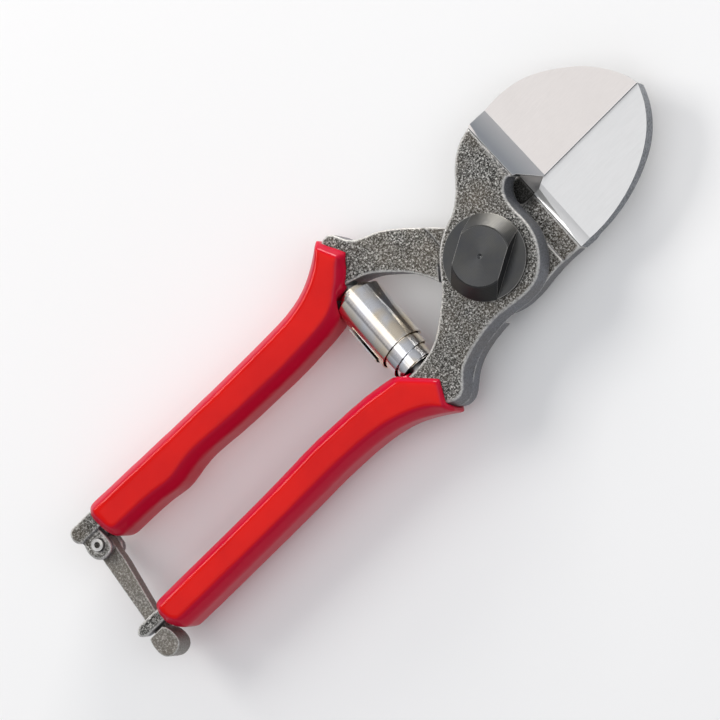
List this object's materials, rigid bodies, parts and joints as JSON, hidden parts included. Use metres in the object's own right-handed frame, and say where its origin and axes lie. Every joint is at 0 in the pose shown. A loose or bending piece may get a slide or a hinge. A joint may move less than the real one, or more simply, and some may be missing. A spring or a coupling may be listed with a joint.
{
  "type": "bypass pruner",
  "caption": "One-hand garden pruner with two forged halves, ground blades, vinyl grips, a volute spring and a swinging latch at the tail.",
  "frame": {"origin": "on the pivot axis, at the outer end of the pivot bolt, where its thread is flush with the nut", "axes": "+X to the blade tips, +Y to the side of the front blade and of the rear half's handle, +Z along the pivot to the bolt's head"},
  "size_m": [0.2087, 0.063, 0.0227],
  "materials": {
    "forged_steel": "satin",
    "blued_steel": "satin",
    "plated_steel": "satin",
    "spring_steel": "polished",
    "grip_vinyl": "gloss",
    "latch_steel": "matte"
  },
  "bodies": {
    "front_half": {"front_blade_handle": "forged_steel", "front_grip": "grip_vinyl", "pivot_bolt": "blued_steel", "lock_washer": "plated_steel", "pivot_nut": "plated_steel", "volute_spring": "spring_steel", "front_spring_peg": "plated_steel"},
    "rear_half": {"rear_blade_handle": "forged_steel", "rear_grip": "grip_vinyl", "rear_spring_peg": "plated_steel", "latch_roll_pin": "plated_steel"},
    "latch": {"latch_lever": "latch_steel"}
  },
  "joints": [
    {"name": "pivot", "type": "hinge", "parent": "front_half", "child": "rear_half", "pos_m": [0, 0, 0.012], "axis": [0, 0, -1], "range_deg": [0, 33], "deforming": ["volute_spring"]},
    {"name": "latch_swing", "type": "hinge", "parent": "rear_half", "child": "latch", "pos_m": [-0.1395, 0.0212, 0.011], "axis": [0, 0, -1], "range_deg": [0, 80]}
  ]
}
